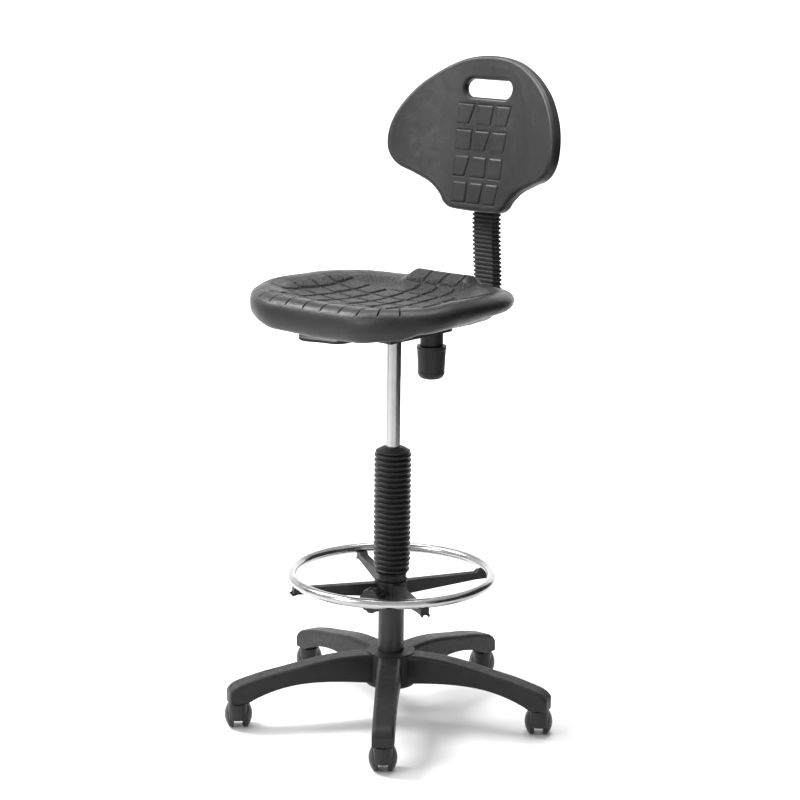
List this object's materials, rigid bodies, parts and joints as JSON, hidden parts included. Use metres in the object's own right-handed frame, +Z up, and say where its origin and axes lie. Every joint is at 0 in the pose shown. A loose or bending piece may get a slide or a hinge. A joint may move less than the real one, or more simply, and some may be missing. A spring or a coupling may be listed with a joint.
{
  "type": "drafting chair",
  "caption": "Tall drafting chair with a moulded foam seat and backrest, gas lift, foot ring on a column and a star base on castors.",
  "frame": {"origin": "on the floor, under the axis of the column", "axes": "+Z up along the column, -Y the way the sitter faces, +X to the sitter's left"},
  "size_m": [0.6384, 0.621, 1.2642],
  "materials": {
    "base_nylon": "fine spark-eroded texture, black glass-filled nylon",
    "castor_nylon": "satin black nylon",
    "wheel_nylon": "satin black nylon, scuffed tread",
    "bright_steel": "zinc plated",
    "black_steel": "black powder coat",
    "chrome_plate": "polished chrome",
    "bush_plastic": "plain moulded",
    "sleeve_plastic": "satin black polyethylene",
    "buffer_rubber": "plain rubber",
    "knob_plastic": "satin black",
    "integral_foam": "pebble-grained skin of polyurethane foam with raised blocks"
  },
  "bodies": {
    "root": {"star_base": "base_nylon", "column_tube": "black_steel", "column_base_plate": "black_steel", "column_guide_bush": "bush_plastic", "thrust_bearing": "bright_steel", "column_bellows": "sleeve_plastic", "bellows_top_cap": "base_nylon"},
    "lift_rod": {"piston_rod": "bright_steel", "piston": "bright_steel", "thrust_race_upper": "bright_steel", "rubber_buffer": "buffer_rubber", "rod_clip": "bright_steel"},
    "seat_frame": {"gas_cylinder": "chrome_plate", "mechanism_housing": "black_steel", "seat_plate": "black_steel", "seat_insert": "bush_plastic", "seat_bolts": "black_steel", "seat_pad": "integral_foam", "pivot_pin": "bright_steel"},
    "height_lever": {"lever_rod": "black_steel", "lever_paddle": "knob_plastic"},
    "valve": {"valve_pin": "bright_steel"},
    "back_support": {"back_bracket": "black_steel", "back_upright": "black_steel", "upright_bolts": "black_steel", "tension_screw": "black_steel", "tension_sleeve": "knob_plastic", "tension_spring": "black_steel", "stem_bellows": "sleeve_plastic"},
    "spring_washer": {"tension_washer": "bright_steel"},
    "tension_knob": {"tension_knob": "knob_plastic"},
    "backrest": {"backrest_pad": "integral_foam", "backrest_carrier": "base_nylon", "backrest_screws": "bright_steel"},
    "height_knob": {"height_knob": "knob_plastic"},
    "ring_collar": {"bellows_collar": "base_nylon"},
    "ring": {"ring_spider": "base_nylon", "foot_ring": "chrome_plate", "ring_screws": "bright_steel"},
    "ring_knob": {"ring_knob": "knob_plastic"},
    "castor_1": {"castor_housing_1": "castor_nylon", "castor_pins_1": "bright_steel"},
    "wheel_left_1": {"castor_wheel_left_1": "wheel_nylon"},
    "wheel_right_1": {"castor_wheel_right_1": "wheel_nylon"},
    "castor_2": {"castor_housing_2": "castor_nylon", "castor_pins_2": "bright_steel"},
    "wheel_left_2": {"castor_wheel_left_2": "wheel_nylon"},
    "wheel_right_2": {"castor_wheel_right_2": "wheel_nylon"},
    "castor_3": {"castor_housing_3": "castor_nylon", "castor_pins_3": "bright_steel"},
    "wheel_left_3": {"castor_wheel_left_3": "wheel_nylon"},
    "wheel_right_3": {"castor_wheel_right_3": "wheel_nylon"},
    "castor_4": {"castor_housing_4": "castor_nylon", "castor_pins_4": "bright_steel"},
    "wheel_left_4": {"castor_wheel_left_4": "wheel_nylon"},
    "wheel_right_4": {"castor_wheel_right_4": "wheel_nylon"},
    "castor_5": {"castor_housing_5": "castor_nylon", "castor_pins_5": "bright_steel"},
    "wheel_left_5": {"castor_wheel_left_5": "wheel_nylon"},
    "wheel_right_5": {"castor_wheel_right_5": "wheel_nylon"}
  },
  "joints": [
    {"name": "castor_swivel_1", "type": "hinge", "parent": "root", "child": "castor_1", "pos_m": [0.28489, 0.102, 0.065], "axis": [0, 0, 1], "continuous": true},
    {"name": "wheel_left_roll_1", "type": "hinge", "parent": "castor_1", "child": "wheel_left_1", "pos_m": [0.27332, 0.11579, 0.025], "axis": [-0.766, -0.6428, 0], "continuous": true},
    {"name": "wheel_right_roll_1", "type": "hinge", "parent": "castor_1", "child": "wheel_right_1", "pos_m": [0.27332, 0.11579, 0.025], "axis": [-0.766, -0.6428, 0], "continuous": true},
    {"name": "castor_swivel_2", "type": "hinge", "parent": "root", "child": "castor_2", "pos_m": [-0.00898, 0.30247, 0.065], "axis": [0, 0, 1], "continuous": true},
    {"name": "wheel_left_roll_2", "type": "hinge", "parent": "castor_2", "child": "wheel_left_2", "pos_m": [-0.02055, 0.31626, 0.025], "axis": [-0.766, -0.6428, 0], "continuous": true},
    {"name": "wheel_right_roll_2", "type": "hinge", "parent": "castor_2", "child": "wheel_right_2", "pos_m": [-0.02055, 0.31626, 0.025], "axis": [-0.766, -0.6428, 0], "continuous": true},
    {"name": "castor_swivel_3", "type": "hinge", "parent": "root", "child": "castor_3", "pos_m": [-0.29044, 0.08493, 0.065], "axis": [0, 0, 1], "continuous": true},
    {"name": "wheel_left_roll_3", "type": "hinge", "parent": "castor_3", "child": "wheel_left_3", "pos_m": [-0.30201, 0.09872, 0.025], "axis": [-0.766, -0.6428, 0], "continuous": true},
    {"name": "wheel_right_roll_3", "type": "hinge", "parent": "castor_3", "child": "wheel_right_3", "pos_m": [-0.30201, 0.09872, 0.025], "axis": [-0.766, -0.6428, 0], "continuous": true},
    {"name": "castor_swivel_4", "type": "hinge", "parent": "root", "child": "castor_4", "pos_m": [-0.17052, -0.24998, 0.065], "axis": [0, 0, 1], "continuous": true},
    {"name": "wheel_left_roll_4", "type": "hinge", "parent": "castor_4", "child": "wheel_left_4", "pos_m": [-0.18209, -0.23619, 0.025], "axis": [-0.766, -0.6428, 0], "continuous": true},
    {"name": "wheel_right_roll_4", "type": "hinge", "parent": "castor_4", "child": "wheel_right_4", "pos_m": [-0.18209, -0.23619, 0.025], "axis": [-0.766, -0.6428, 0], "continuous": true},
    {"name": "castor_swivel_5", "type": "hinge", "parent": "root", "child": "castor_5", "pos_m": [0.18505, -0.23942, 0.065], "axis": [0, 0, 1], "continuous": true},
    {"name": "wheel_left_roll_5", "type": "hinge", "parent": "castor_5", "child": "wheel_left_5", "pos_m": [0.17348, -0.22564, 0.025], "axis": [-0.766, -0.6428, 0], "continuous": true},
    {"name": "wheel_right_roll_5", "type": "hinge", "parent": "castor_5", "child": "wheel_right_5", "pos_m": [0.17348, -0.22564, 0.025], "axis": [-0.766, -0.6428, 0], "continuous": true},
    {"name": "seat_swivel", "type": "hinge", "parent": "root", "child": "lift_rod", "pos_m": [0, 0, 0.0745], "axis": [0, 0, 1], "continuous": true},
    {"name": "seat_height", "type": "slide", "parent": "lift_rod", "child": "seat_frame", "axis": [0, 0, 1], "range_m": [-0.2, 0], "stiffness_N_per_m": 900, "springref_m": 0.35},
    {"name": "lever_lift", "type": "hinge", "parent": "seat_frame", "child": "height_lever", "pos_m": [-0.0375, 0, 0.7873], "axis": [0, 1, 0], "range_deg": [0, 5.7], "stiffness_Nm_per_rad": 6, "springref_deg": -6.88},
    {"name": "valve_press", "type": "slide", "parent": "seat_frame", "child": "valve", "axis": [0, 0, 1], "range_m": [-0.004, 0]},
    {"name": "back_tilt", "type": "hinge", "parent": "seat_frame", "child": "back_support", "pos_m": [0, 0.024, 0.764], "axis": [-1, 0, 0], "range_deg": [0, 16], "stiffness_Nm_per_rad": 90, "springref_deg": -17.19},
    {"name": "tension_travel", "type": "slide", "parent": "back_support", "child": "spring_washer", "axis": [0, 0, 1], "range_m": [-0.003, 0.006], "deforming": ["tension_spring"]},
    {"name": "tension_turn", "type": "hinge", "parent": "spring_washer", "child": "tension_knob", "pos_m": [0, 0.112, 0.69], "axis": [0, 0, 1], "range_deg": [-723, 1443]},
    {"name": "backrest_height", "type": "slide", "parent": "back_support", "child": "backrest", "axis": [0, 0.1771, 0.9842], "range_m": [-0.05, 0.02], "deforming": ["stem_bellows"]},
    {"name": "height_knob_turn", "type": "hinge", "parent": "backrest", "child": "height_knob", "pos_m": [0, 0.30071, 1.06615], "axis": [0, 0.9842, -0.1771], "range_deg": [-360, 0]},
    {"name": "ring_height", "type": "slide", "parent": "root", "child": "ring_collar", "axis": [0, 0, 1], "range_m": [-0.08, 0.1], "deforming": ["column_bellows"]},
    {"name": "ring_turn", "type": "hinge", "parent": "ring_collar", "child": "ring", "pos_m": [0, 0, 0.256], "axis": [0, 0, 1], "continuous": true},
    {"name": "ring_knob_turn", "type": "hinge", "parent": "ring", "child": "ring_knob", "pos_m": [0.01336, -0.06871, 0.255], "axis": [0.1908, -0.9816, 0], "range_deg": [-360, 0]}
  ],
  "couplings": [
    {"joint": "valve_press", "follows": "lever_lift", "m_per_rad": -0.0375},
    {"joint": "tension_turn", "follows": "tension_travel", "rad_per_m": 4188.8}
  ]
}
